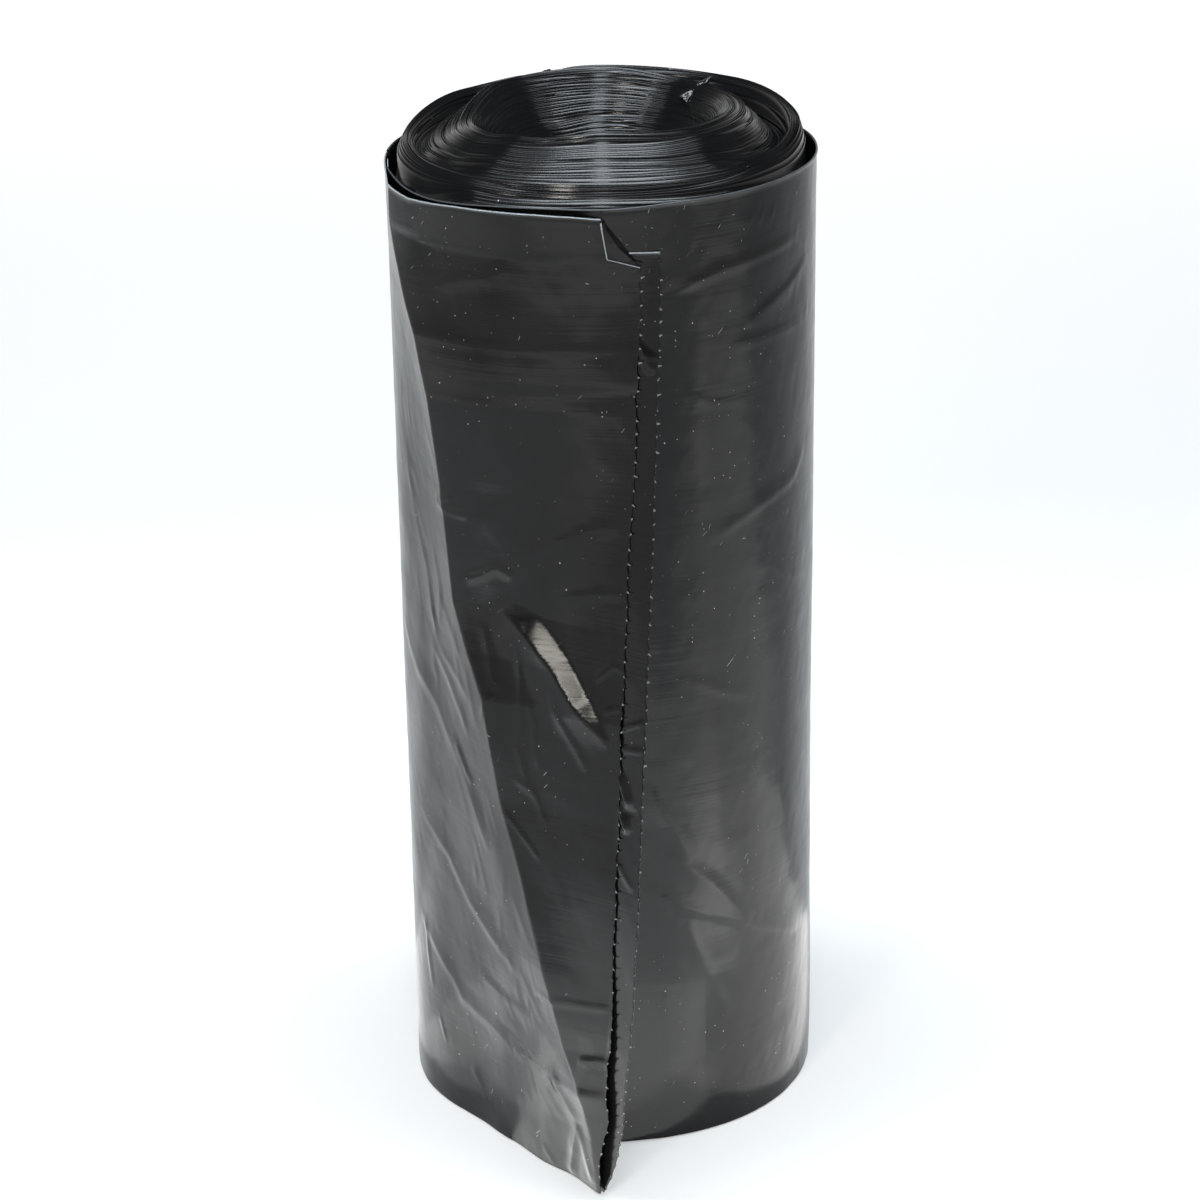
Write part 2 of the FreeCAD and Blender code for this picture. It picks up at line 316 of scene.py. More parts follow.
def film_material(name, colour, roughness, index, bump, dust_share, scratch_share=None):
    material = bpy.data.materials.new(name)
    material.use_nodes = True
    tree = material.node_tree
    film = tree.nodes["Principled BSDF"]
    given = tree.nodes.new("ShaderNodeTexCoord").outputs
    place = given["Object"]
    lines = placed(tree, drawing_lines, Place=place, Spacing=900.0)

    fine_place = wire(tree, "ShaderNodeVectorMath", [("operation", "SCALE")], Vector=place, Scale=560.0)[0]
    dust = placed(tree, flecks, Place=fine_place, Size=0.135, Share=dust_share)["Mask"]
    cloud = wire(tree, "ShaderNodeTexNoise", Vector=place, Scale=26.0, Detail=2.0)["Fac"]
    cloud = wire(tree, "ShaderNodeMapRange", Value=cloud, From_Min=0.42, From_Max=0.62)[0]
    dust = maths(tree, "MULTIPLY", dust, cloud)
    pale = mixed(tree, dust, colour, (0.60, 0.56, 0.50, 1.0))
    height = lines["Lines"]
    if scratch_share is not None:
        marks = placed(tree, scratches, Web=given["UV"], Share=scratch_share)["Mask"]
        pale = mixed(tree, maths(tree, "MULTIPLY", marks, 0.5), pale, (0.40, 0.40, 0.41, 1.0))
        height = maths(tree, "MULTIPLY_ADD", marks, 0.6, height)
    put(tree, film.inputs["Base Color"], pale)

    cloudy = wire(tree, "ShaderNodeTexNoise", Vector=place, Scale=14.0, Detail=3.0)["Fac"]
    gloss = maths(tree, "MULTIPLY_ADD", lines["Bands"], 0.12, roughness - 0.11)
    put(tree, film.inputs["Roughness"], maths(tree, "MULTIPLY_ADD", cloudy, 0.10, gloss))
    relief = wire(tree, "ShaderNodeBump", Strength=bump, Distance=0.00012, Height=height)[0]
    put(tree, film.inputs["Normal"], relief)
    film.inputs["IOR"].default_value = index
    return material


def finish_piece(piece, *materials):
    """Gives a piece its film, and joins it to the one body, because nothing on the roll moves."""
    for material in materials:
        piece.data.materials.append(material)
    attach(piece, "root")


edge_film = film_material("turn_edges_film", (0.003, 0.003, 0.0033, 1.0), 0.17, 1.36, 0.15, 0.03)
finish_piece(tight_turns, edge_film)
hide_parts("bag_roll")


# ------------------------------------------------------------------------------------------------
# Turns at the foot. The same turns, pressed level by the roll's own weight, so their edges stand on
# one plane. They are drawn two at a time, and the mesh is built upside down and turned over.

def lower_level(radius, angle, swept):
    return -np.maximum(0.3, 1.1 + 0.35 * drift(swept, 0.0, 80.0, 1.0, 21))


def lower_gap(radius, angle, swept):
    return 1.6 + 0.4 * drift(swept, 0.0, 100.0, 1.0, 22), np.full(swept.shape, 0.3)


turns_at_foot = turn_edges(
    "turns_at_foot", HOLLOW_RADIUS, LAST_TURN_RADIUS, 1.25, 150, lower_level, lower_gap, 9.0
)
for vertex in turns_at_foot.data.vertices:
    vertex.co.z = -vertex.co.z
turns_at_foot.data.flip_normals()
finish_piece(turns_at_foot, edge_film)


# ------------------------------------------------------------------------------------------------
# Winding. The body of turns between those edges, as one closed block: the hollow's wall, a ledge
# under the upper edges, the outermost tight turn, and a ledge above the foot.

def grid_faces(rows, columns, closed=False):
    index = np.arange(rows * columns).reshape(rows, columns)
    if closed:
        index = np.concatenate([index, index[:, :1]], 1)
    return np.stack([index[:-1, :-1], index[:-1, 1:], index[1:, 1:], index[1:, :-1]], -1).reshape(-1, 4)


BODY_STEPS = 240
BODY_RADIUS = LAST_TURN_RADIUS - 0.1
body_angle = np.arange(BODY_STEPS) * 360.0 / BODY_STEPS
body_rings = [around(27.75, body_angle, height) for height in np.linspace(3.5, 339.0, 60)]
for ring_radius in np.linspace(28.5, 71.4, 30):
    body_rings.append(around(ring_radius, body_angle, turn_level(ring_radius, body_angle) - 7.0))
body_rings += [around(BODY_RADIUS, body_angle, height) for height in np.linspace(321.0, 3.5, 24)]
body_points = np.stack(body_rings)
ring_faces = grid_faces(len(body_rings) + 1, BODY_STEPS, closed=True) % (len(body_rings) * BODY_STEPS)
winding = mesh_piece("winding", body_points, ring_faces[:, ::-1])
finish_piece(winding, edge_film)


# ------------------------------------------------------------------------------------------------
# Loose outer turn. The last full turn of the folded web, four layers of film, stands a little off
# the tight ones, so a dark groove runs between them at the sides and the back. Handling has left
# slanting creases in it, and the web's own drawing lines run level round it.

PER_DEGREE = math.pi / 180.0 * OUTER_RADIUS


def crease(along, height, path, lift, near, far, fade=10.0):
    """A folded line in the film. It rises over near on its left side and falls over far."""
    best = np.full(along.shape, 1e9)
    signed = np.zeros(along.shape)
    travel = np.zeros(along.shape)
    done = 0.0
    for (s0, z0), (s1, z1) in zip(path, path[1:]):
        length = math.hypot(s1 - s0, z1 - z0)
        ds, dz = (s1 - s0) / length, (z1 - z0) / length
        run = (along - s0) * ds + (height - z0) * dz
        held = np.clip(run, 0, length)
        away = np.hypot(along - s0 - held * ds, height - z0 - held * dz)
        side = np.where((height - z0) * ds - (along - s0) * dz >= 0, 1.0, -1.0)
        closer = away < best
        best = np.where(closer, away, best)
        signed = np.where(closer, away * side, signed)
        travel = np.where(closer, done + held, travel)
        done += length
    width = np.where(signed > 0, near, far)
    tent = np.clip(1 - np.sqrt(best ** 2 + 0.09) / width, 0, 1)
    ends = np.clip(travel / fade, 0, 1) * np.clip((done - travel) / fade, 0, 1)
    return lift * tent ** 1.5 * np.sqrt(ends)


RIGHT_CREASES = [
    ([(15, 319), (31, 324), (44, 326), (63, 328)], 0.42, 5.0, 2.0),
    ([(40, 304), (47, 308), (57, 312), (70, 319)], 0.44, 3.0, 6.0),
    ([(34, 298), (44, 298), (66, 297)], 0.28, 3.0, 4.0),
    ([(27, 230), (43, 237), (61, 242), (68, 250)], 0.46, 7.0, 3.0),
    ([(19, 182), (43, 167)], 0.28, 4.0, 4.0),
    ([(9, 101), (19, 93), (34, 84), (47, 75), (65, 64)], 0.50, 8.0, 2.5),
    ([(9, 119), (14, 103), (18, 90)], -0.40, 3.0, 3.0),
    ([(10, 143), (16, 126), (23, 111)], 0.52, 3.0, 6.0),
    ([(16, 115), (28, 101), (42, 80)], 0.56, 5.0, 9.0),
    ([(21, 87), (34, 44)], 0.34, 4.0, 6.0),
    ([(50, 215), (58, 207), (70, 202)], 0.30, 4.0, 3.0),
    ([(18, 285), (30, 279), (41, 277)], 0.22, 3.0, 3.0),
    ([(39.5, 336), (42, 342)], 0.50, 1.2, 1.2),
    ([(43.5, 336), (46.5, 343)], 0.55, 1.2, 1.2),
    ([(48, 336), (51, 343)], 0.50, 1.2, 1.2),
]


def outer_relief(angle, height):
    """How far the outer turn's skin stands off its even round."""
    along = angle * PER_DEGREE
    seen = smooth(-20, 5, angle) * (1 - smooth(85, 120, angle))
    relief = 0.16 * drift(along, height, 13.0, 160.0, 31)
    relief += 0.10 * drift(along, height, 26.0, 30.0, 32)
    relief += 0.045 * drift(along + height * 0.5, height, 9.0, 7.0, 33)
    relief += 0.022 * drift(along - height * 0.3, height, 3.1, 5.0, 36)
    relief += 0.010 * drift(along, height, 60.0, 1.9, 34)
    shaped = np.zeros(along.shape)
    for path, lift, near, far in RIGHT_CREASES:
        shaped += crease(along, height, [(a * PER_DEGREE, z) for a, z in path], lift, near, far)
    relief += shaped * seen
    relief += 0.8 * bell(height - 30.0, 38.0) * smooth(5, 60, angle) * (1 - smooth(150, 250, angle))
    return relief


def rim_height(angle):
    """The outer turn's upper edge is a little higher at the right, and lowest under the free end."""
    sag = 2.8 * bell(angle + 54.0, 24.0)
    return ROLL_LENGTH - 0.4 + 1.1 * np.sin(np.radians(angle)) + 0.25 * drift(angle, 0.0, 21.0, 1.0, 35) - sag


def outer_radius(angle):
    """The outer turn lies under the free end at the left of the front."""
    return OUTER_RADIUS - 0.35 * (1 - smooth(-12, 8, angle))


# The film's own fold makes a rounded hem along the top. A torn edge only shows its thickness. Each
# step of a border is how far it stands out of the film, and how far it reaches past the edge.

# The hem's rounded upper faces take the piece's second material, which is painted pale: a painted highlight where
# the edge catches the light.

HEM = ((0.22, -0.50), (0.42, -0.20), (0.30, 0.10), (0.0, 0.22), (-0.25, 0.10), (-0.38, -0.30), (-0.38, -2.0))
TORN = ((0.0, 0.0), (-0.16, 0.10), (-0.35, 0.0), (-0.35, -1.4))


def bordered(skin, normal, places, axis, border):
    """Adds a border to the last edge of a grid of points."""
    def last(array, at=-1):
        return np.take(array, [at], axis=axis)

    outward = last(skin) - last(skin, -2)
    outward /= np.linalg.norm(outward, axis=-1, keepdims=True)
    steps = [last(skin) + out * last(normal) + past * outward for out, past in border]
    kept = np.take(skin, range(skin.shape[axis] - 1), axis=axis)
    flat = np.take(normal, range(skin.shape[axis] - 1), axis=axis)
    held = np.take(places, range(skin.shape[axis] - 1), axis=axis)
    return (
        np.concatenate([kept] + steps, axis),
        np.concatenate([flat] + [last(normal)] * len(steps), axis),
        np.concatenate([held] + [last(places)] * len(steps), axis),
    )


def painted_highlight_border(piece, columns, rows):
    """Gives the faces between two rows of a grid the piece's second material, a painted highlight."""
    for face in piece.data.polygons:
        if rows[0] <= face.index // (columns - 1) < rows[1]:
            face.material_index = 1


def film_sheet(name, skin, along, height, top=HEM, side=TORN):
    """A leaf of film from a grid of its points: rows go up, and columns go to the right."""
    rows = len(skin)
    normal = np.cross(np.gradient(skin, axis=1), np.gradient(skin, axis=0))
    normal /= np.linalg.norm(normal, axis=-1, keepdims=True)
    places = np.stack(np.broadcast_arrays(along, height), -1)
    skin, normal, places = bordered(skin, normal, places, 0, top)
    skin, normal, places = bordered(skin, normal, places, 1, side)
    piece = mesh_piece(name, skin, grid_faces(*skin.shape[:2]), places)
    # The hem's upper faces get the painted highlight.
    painted_highlight_border(piece, skin.shape[1], (rows, rows + 2))
    return piece


outer_columns = np.concatenate([
    np.linspace(-80, -14, 34, endpoint=False),
    np.linspace(-14, 94, 178, endpoint=False),
    np.linspace(94, 265, 96),
])
angle_grid, share_grid = np.meshgrid(outer_columns, np.linspace(0, 1, 300))
height_grid = 0.3 + share_grid * (rim_height(angle_grid) - 0.3)
outer_skin = outer_relief(angle_grid, height_grid) * (1 - smooth(225, 262, angle_grid))
outer_skin = outer_skin + outer_radius(angle_grid)
outer_turn = film_sheet(
    "outer_turn", around(outer_skin, angle_grid, height_grid), angle_grid * PER_DEGREE, height_grid
)
loose_film = film_material("black_film", (0.0045, 0.0045, 0.0048, 1.0), 0.21, 1.31, 0.35, 0.50, 0.006)
# The rim and edge films are painted pale and bluish: a painted highlight along the hems of the outer turn, the
# leaves and the dog ear.
rim_highlight_film = film_material("rim_highlight_film", (0.05, 0.055, 0.06, 1.0), 0.30, 1.4, 0.2, 0.0)
edge_highlight_film = film_material("edge_highlight_film", (0.25, 0.27, 0.29, 1.0), 0.32, 1.4, 0.2, 0.0)
finish_piece(outer_turn, loose_film, rim_highlight_film)


# ------------------------------------------------------------------------------------------------
# Free end, outer leaf. The last sack's torn end. It leaves the roll along a line that swings round
# to the left towards the foot, so its lower corner stands well in front of the roll, on the same
# surface. It has one long ridge, a dart that catches the light, and a folded foot.

WEB_RADIUS = 74.5
LEAF_START = -95.0 * PER_DEGREE


def lift_angle(height):
    """Where the leaf leaves the roll, in degrees left of the front."""
    return 49.0 - 61.0 * np.clip(height / ROLL_LENGTH, 0, 1) ** 2.6


def leaf_place(along, height, radius, late=0.0, off=0.0):
    """A place on the free end: round the roll as far as the lift line, then straight off it."""
    lift = np.radians(lift_angle(height) - late)
    turn = along / WEB_RADIUS
    held = np.minimum(turn, -lift)
    run = (turn - held) * WEB_RADIUS
    out_x, out_y = np.sin(held), -np.cos(held)
    x = (radius + off) * out_x + run * np.cos(held)
    y = (radius + off) * out_y + run * np.sin(held)
    return np.stack(np.broadcast_arrays(x, y, height), -1)


def line_through(points):
    """Reads a line given by its points: the first value at any second value."""
    by_height = sorted((height, along) for along, height in points)
    heights = [height for height, along in by_height]
    lengths = [along for height, along in by_height]
    return lambda height: np.interp(height, heights, lengths)


OUTER_EDGE = line_through([
    (14.4, 0), (14.3, 13), (18.1, 28.6), (17.5, 44.3), (20.0, 65.7), (19.8, 95), (19.4, 113.4),
    (17.4, 140.7), (16.3, 158.5), (13.4, 192.1), (10.9, 232.6), (11.0, 285.7), (12.2, 329.7), (12.2, 346),
])
PERFORATION_PITCH = 4.7
EAR_FOOT, EAR_TOP = (12.3, 329.7), (-0.9, 346.0)


def torn(height, seed):
    """The torn line's small teeth, one for each bridge of the perforation."""
    phase = (height / PERFORATION_PITCH + 0.13 * drift(height, 0.0, 19.0, 1.0, seed)) % 1.0
    tooth = np.clip(1 - np.abs(phase - 0.5) / 0.22, 0, 1)
    return 0.55 * tooth + 0.22 * drift(height, 0.0, 5.5, 1.0, seed + 1)


def leaf_top(along):
    """The leaf's upper edge, which sags at the left, where it comes off the roll's even round."""
    lengths = (-124, -100, -94.9, -89.4, -80.9, -72, -59.5, -50.6, -38, -21.4, -10.6, -0.9, 20)
    heights = (348.6, 349.2, 349.0, 347.8, 346.4, 345.7, 346.4, 347.0, 347.3, 347.5, 347.1, 346.2, 345.6)
    return np.interp(along, lengths, heights)


def leaf_limit(height):
    """The outer leaf's right-hand boundary: the torn line, and above it the ear's fold."""
    fold = EAR_FOOT[0] + (height - EAR_FOOT[1]) * (EAR_TOP[0] - EAR_FOOT[0]) / (EAR_TOP[1] - EAR_FOOT[1])
    edge = OUTER_EDGE(height)
    return np.where(height > EAR_FOOT[1], np.minimum(fold, edge), edge + torn(height, 41))


RIDGE = line_through([
    (-86, 332), (-74, 314), (-65, 302), (-58.5, 281), (-56, 245), (-53.8, 208), (-46.9, 192), (-37.7, 177),
    (-33.0, 159), (-28.5, 141.5), (-21.0, 125), (-14.0, 109), (-7.4, 92), (-1.6, 75.5), (2.4, 56), (9, 40),
    (12.0, 22), (13.1, 0),
])
RIDGE_HEIGHTS = (0, 22, 40, 84, 124, 159, 192, 208, 250, 300, 335)
RIDGE_FALLS = (6, 6, 9, 24, 40, 49, 60, 66, 67, 78, 96)
FACET_ANGLES = (50, 51, 53, 57, 58.5, 60, 61.5, 63, 68, 76, 84)


def taut_relief(along, height):
    """How far film stands off that runs straight from the roll, at the facet's own angle."""
    facet = np.radians(np.interp(height, RIDGE_HEIGHTS, FACET_ANGLES))
    lift = np.radians(lift_angle(height))
    turned = np.clip(along / WEB_RADIUS + facet, 0, np.maximum(facet - lift, 0.7))
    off_roll = WEB_RADIUS * (1 / np.cos(turned) - 1)
    at_lift = WEB_RADIUS * (1 / np.cos(np.maximum(facet - lift, 0)) - 1)
    past_lift = along + WEB_RADIUS * lift
    return np.where(past_lift > 0, at_lift + np.tan(facet - lift) * past_lift, off_roll)


def ridge_relief(along, height):
    """The long ridge: taut film on its left, and a flat fall on its right."""
    ridge = RIDGE(height)
    fall = np.interp(height, RIDGE_HEIGHTS, RIDGE_FALLS)
    right = taut_relief(ridge, height) * np.clip(1 - (along - ridge) / fall, 0, 1)
    return np.where(along < ridge, taut_relief(along, height), right)


# Creases left of the ridge, then right of it, then at the foot. Each is a path, how high it stands,
# how wide it is on its upper right and on its lower left, and how long its ends fade.

LEAF_CREASES = [
    ([(-88, 256), (-84.9, 242.8), (-79.7, 227.4), (-73.2, 214.2), (-70.6, 197.7), (-66.9, 185.4)], 0.3, 3, 6, 14),
    ([(-66.9, 185.4), (-54.9, 179.2), (-46.8, 173.6)], 0.25, 3, 3, 5),
    ([(-61.4, 233.0), (-66.7, 222.9), (-63.5, 209.6), (-65.7, 193.5)], 0.25, 3, 3, 6),
    ([(-100, 186.8), (-84.3, 171.3), (-69.7, 161.8), (-60.0, 150.2), (-55.1, 142.8)], 0.5, 8, 5, 10),
    ([(-70.9, 184.0), (-60.3, 174.7), (-53.0, 166.1), (-47.2, 158.0)], 0.35, 4, 3, 6),
    ([(-57.3, 153.1), (-50.1, 143.4), (-46.3, 140.6)], 0.4, 3, 2, 3),
    ([(-59.9, 154.2), (-50.2, 138.4), (-44.0, 128.5), (-36.3, 118.1)], 0.4, 6, 5, 8),
    ([(-88, 115.6), (-65.7, 104.6), (-53.8, 93.1), (-38.9, 84.1), (-20.9, 75.3)], 0.45, 8, 3.5, 18),
    ([(-91.8, 70.3), (-77.6, 61.9), (-64.9, 53.4), (-60.3, 48.3), (-44.5, 45.5), (-28.9, 41.5)], 0.5, 7, 4, 12),
    ([(-48.6, 64.5), (-31.6, 61.0), (-14.9, 60.9)], 0.35, 4, 8, 6),
    ([(-38.1, 50.4), (-22.7, 45.3), (-7.5, 40.3)], -0.25, 5, 5, 6),
    ([(-76.2, 34.4), (-71.8, 24.6)], 0.35, 2, 2, 3),
    ([(-86.9, 71.5), (-84.2, 54.1), (-81.2, 43.8)], 0.4, 3, 3, 6),
    ([(-61, 318.6), (-46.2, 323.4), (-30.8, 327.6)], 0.35, 4, 6, 10),
    ([(-60.9, 242.9), (-52.3, 246.9)], 0.5, 2.5, 2.5, 2),
    ([(-60.9, 242.9), (-53.7, 241.5), (-46.3, 240.8)], 0.5, 2, 3, 2),
    ([(-48.8, 216.8), (-42.2, 219.8), (-36.9, 223.3), (-30.8, 220.9)], 0.5, 3, 3, 4),
    ([(-27.6, 197.4), (-23.9, 181.5), (-22.4, 170.6), (-23.3, 161.9), (-18, 148.2)], 0.4, 2, 2.5, 6),
    ([(-21.6, 180.2), (-17.9, 171.8), (-16.0, 156.4)], 0.35, 2, 2, 5),
    ([(-12.9, 184.2), (-7.9, 174.5), (-0.4, 165.4), (3.6, 159.2)], 0.45, 2.5, 3, 5),
    ([(-34.1, 179.8), (-38.7, 170.0)], 0.3, 2, 2, 3),
    ([(-24.2, 151.2), (-15.5, 146.1), (-10.2, 136.4)], 0.35, 2, 2, 4),
    ([(-41.6, 201.8), (-35.2, 184.3), (-32.9, 181.1)], 0.4, 3, 3, 6),
    ([(-26.3, 138.0), (-19.9, 132.3), (-10.8, 124.2)], 0.5, 1.3, 1.3, 3),
    ([(-24.8, 230.2), (0, 242.2), (9.4, 243.1)], 0.25, 4, 4, 8),
    ([(-14.4, 215.8), (11.2, 221.5)], 0.25, 3, 3, 6),
    ([(3.5, 190.4), (9.2, 196.2), (12.9, 196.1)], 0.55, 1.2, 1.2, 1.5),
    ([(7.7, 180.7), (13.9, 183.1)], 0.55, 1.2, 1.2, 1.5),
    ([(-11.9, 73.3), (1.4, 74.0), (20.1, 75.4)], 0.45, 2.5, 2, 4),
    ([(7.6, 52.2), (14.9, 54.0), (20.1, 53.6)], 1.0, 3.5, 2.5, 3),
    ([(-7.5, 39.2), (6.1, 39.3), (18.7, 40.2)], 0.7, 4, 8, 3),
    ([(-28.9, 41.5), (-9.0, 40.8), (-1.5, 32.6), (4.5, 24.9)], 0.6, 5, 5, 5),
    ([(-56.6, 21.7), (-49.0, 10.8)], 0.4, 3, 3, 4),
    ([(-15.8, 7.8), (-9.8, 1.2)], 0.3, 2, 2, 2),
    ([(4.5, 24.9), (1.2, 14.3), (-2.1, 1.2)], 0.9, 4, 4, 3),
    ([(4.5, 24.9), (7.3, 14.7), (10.9, 3.6)], 0.5, 3, 3, 3),
]
small_creases = np.random.default_rng(57)
for _ in range(34):
    start_z = small_creases.uniform(30, 290)
    start_s = float(RIDGE(start_z)) - small_creases.uniform(4, 34)
    length = small_creases.uniform(7, 22)
    slant = small_creases.uniform(-0.15, 0.75)
    path = [(start_s, start_z), (start_s + slant * length, start_z - length)]
    width = small_creases.uniform(1.4, 3.2)
    LEAF_CREASES.append((path, 0.06 * width, width, width * 1.4, 5.0))

DART_START, DART_WAY = (-40.1, 219.1), (0.721, -0.692)


def dart_relief(along, height):
    """A tapering pleat: a steep side above, which catches the light, and a long fall below."""
    past_s, past_z = along - DART_START[0], height - DART_START[1]
    run = past_s * DART_WAY[0] + past_z * DART_WAY[1]
    side = past_z * DART_WAY[0] - past_s * DART_WAY[1]
    side = side - np.interp(run, (0, 10, 23, 38, 53, 73), (0, -4, -1.6, -0.7, -1.5, 0))
    width = np.interp(run, (0, 10, 22, 40, 55, 65, 73), (4, 6, 7.5, 6.4, 5.2, 2.8, 0.01))
    lift = 0.48 * width * smooth(4, 34, run) * smooth(74, 69, run)
    return lift * np.where(side > 0, np.clip(1 - side / width, 0, 1), np.clip(1 + side / 16.0, 0, 1) ** 2)


def broad_relief(along, height):
    """Broad waves that both leaves of the free end follow, stronger where they stand off the roll."""
    loose = smooth(0, 30, along + WEB_RADIUS * np.radians(lift_angle(height)))
    waves = (0.16 + 0.4 * loose) * drift(along, height, 17.0, 90.0, 51)
    return waves + (0.08 + 0.15 * loose) * drift(along + height * 0.4, height, 15.0, 24.0, 52)


def leaf_relief(along, height):
    """How far the outer leaf stands off its even run."""
    relief = ridge_relief(along, height) + dart_relief(along, height)
    for path, lift, near, far, fade in LEAF_CREASES:
        relief = relief + crease(along, height, path, lift, near, far, fade)
    relief = relief + 0.35 * smooth(306, 293, height) * smooth(-66, -50, along) * smooth(286, 292, height)
    relief = relief + broad_relief(along, height)
    relief = relief + 0.045 * drift(along, height, 8.0, 8.0, 53)
    relief = relief + 0.020 * drift(along + height * 0.3, height, 3.0, 5.0, 54)
    relief = relief + 0.010 * drift(along, height, 60.0, 1.9, 34)
    return relief * smooth(0, 14, along - LEAF_START)


share_grid, row_grid = np.meshgrid(np.linspace(0, 1, 250), np.linspace(0, 1, 340))
rough_along = LEAF_START + share_grid * (13.0 - LEAF_START)
leaf_height = 0.3 + row_grid * (leaf_top(rough_along) - 0.3)
leaf_along = LEAF_START + share_grid * (leaf_limit(leaf_height) - LEAF_START)
leaf_height = 0.3 + row_grid * (leaf_top(leaf_along) - 0.3)
rest_off = OUTER_RADIUS + 0.7 * smooth(0, 40, leaf_along - LEAF_START)
leaf_skin = leaf_place(leaf_along, leaf_height, rest_off, off=leaf_relief(leaf_along, leaf_height))
outer_leaf = film_sheet("outer_leaf", leaf_skin, leaf_along, leaf_height)
finish_piece(outer_leaf, loose_film, edge_highlight_film)


# ------------------------------------------------------------------------------------------------
# Free end, inner leaf. The sack's other face, torn a little later, lies behind the outer leaf and
# shows as a narrow strip at its right. Near the foot the two part and the sack's mouth stands open.

INNER_EDGE = line_through([
    (14.5, 0), (18.1, 9.9), (19.7, 15.5), (22.5, 28.4), (26.8, 59.5), (29.2, 79.8), (29.6, 108.3),
    (27.2, 143.7), (24.0, 178.9), (21.0, 211.3), (18.2, 252.2), (17.6, 291.9), (18.7, 334.1),
])
INNER_CREASES = [
    ([(8, 308), (16.5, 295)], 0.9, 2.5, 3.5, 2.0),
    ([(12, 302), (17.5, 299)], 0.6, 2.0, 2.0, 2.0),
    ([(13, 175), (23.4, 180.2)], 0.7, 1.5, 1.5, 2.0),
    ([(13, 168.5), (24.8, 170.4)], 0.6, 1.5, 1.5, 2.0),
    ([(15.0, 160), (20.5, 150)], 1.7, 4.2, 1.5, 2.0),
    ([(16.0, 149), (21.0, 141)], 1.5, 3.8, 1.5, 2.0),
    ([(12, 146), (25, 149)], -0.5, 2.0, 2.0, 2.0),
    ([(14, 133), (26, 122)], 0.5, 2.0, 2.0, 3.0),
]


def inner_relief(along, height):
    relief = broad_relief(along, height) * smooth(-30, -10, along) + 0.04 * drift(along, height, 4.0, 6.0, 62)
    for path, lift, near, far, fade in INNER_CREASES:
        relief = relief + crease(along, height, path, lift, near, far, fade)
    return relief


def parting(height):
    """How much later, in degrees, the inner leaf leaves the roll."""
    return 1.3 * smooth(0, 12, height) * (1 - 0.9 * smooth(35, 110, height))


INNER_TOP = 335.8
share_grid, row_grid = np.meshgrid(np.linspace(0, 1, 90), np.linspace(0, 1, 360))
inner_height = 0.5 + row_grid * (INNER_TOP - 0.5 - 1.6 * share_grid)
inner_limit = INNER_EDGE(inner_height) + torn(inner_height, 63)
inner_along = -34.0 + share_grid * (inner_limit + 34.0)
inner_skin = leaf_place(
    inner_along, inner_height, OUTER_RADIUS + 0.35, parting(inner_height), inner_relief(inner_along, inner_height)
)
inner_leaf = film_sheet("inner_leaf", inner_skin, inner_along, inner_height)
finish_piece(inner_leaf, loose_film, edge_highlight_film)


# ------------------------------------------------------------------------------------------------
# Dog ear. The outer leaf's top corner, folded forward and down over the leaf along a slanting fold.
# It is the same film, and its two edges carry a painted highlight that shows as two thin light lines.

EAR_TIP = (1.2, 333.1)
TO_TIP = 0.52
fold_share, reach_share = np.meshgrid(np.linspace(0.02, 0.98, 60), np.linspace(0, 1, 24))
fold_along = EAR_TOP[0] + fold_share * (EAR_FOOT[0] - EAR_TOP[0])
fold_height = EAR_TOP[1] + fold_share * (EAR_FOOT[1] - EAR_TOP[1])
first, second = fold_share / TO_TIP, (fold_share - TO_TIP) / (1 - TO_TIP)
edge_along = np.where(
    fold_share < TO_TIP,
    EAR_TOP[0] + first * (EAR_TIP[0] - EAR_TOP[0]),
    EAR_TIP[0] + second * (EAR_FOOT[0] - EAR_TIP[0]),
)
edge_height = np.where(
    fold_share < TO_TIP,
    EAR_TOP[1] + first * (EAR_TIP[1] - EAR_TOP[1]),
    EAR_TIP[1] + second * (EAR_FOOT[1] - EAR_TIP[1]),
)
ear_along = fold_along + reach_share * (edge_along - fold_along)
ear_height = fold_height + reach_share * (edge_height - fold_height)
ear_off = 0.1 + 0.9 * smooth(0, 0.2, reach_share) + 0.5 * reach_share * (1 - fold_share)
ear_off = ear_off + leaf_relief(ear_along, ear_height)
ear_skin = leaf_place(ear_along, ear_height, OUTER_RADIUS + 0.7, off=ear_off)
ear_normal = np.cross(np.gradient(ear_skin, axis=0), np.gradient(ear_skin, axis=1))
ear_normal /= np.linalg.norm(ear_normal, axis=-1, keepdims=True)
ear_places = np.stack([ear_along, ear_height], -1)
ear_skin, ear_normal, ear_places = bordered(ear_skin, ear_normal, ear_places, 0, HEM)
dog_ear = mesh_piece("dog_ear", ear_skin, grid_faces(*ear_skin.shape[:2])[:, ::-1], ear_places)
# The ear's edges get the painted highlight.
painted_highlight_border(dog_ear, ear_skin.shape[1], (24, 26))
finish_piece(dog_ear, loose_film, edge_highlight_film)


# ------------------------------------------------------------------------------------------------
# Perforation bridges. Where the sack was torn off, each bridge of the film has stretched to a small
# pale tag that stands out of the torn edge.

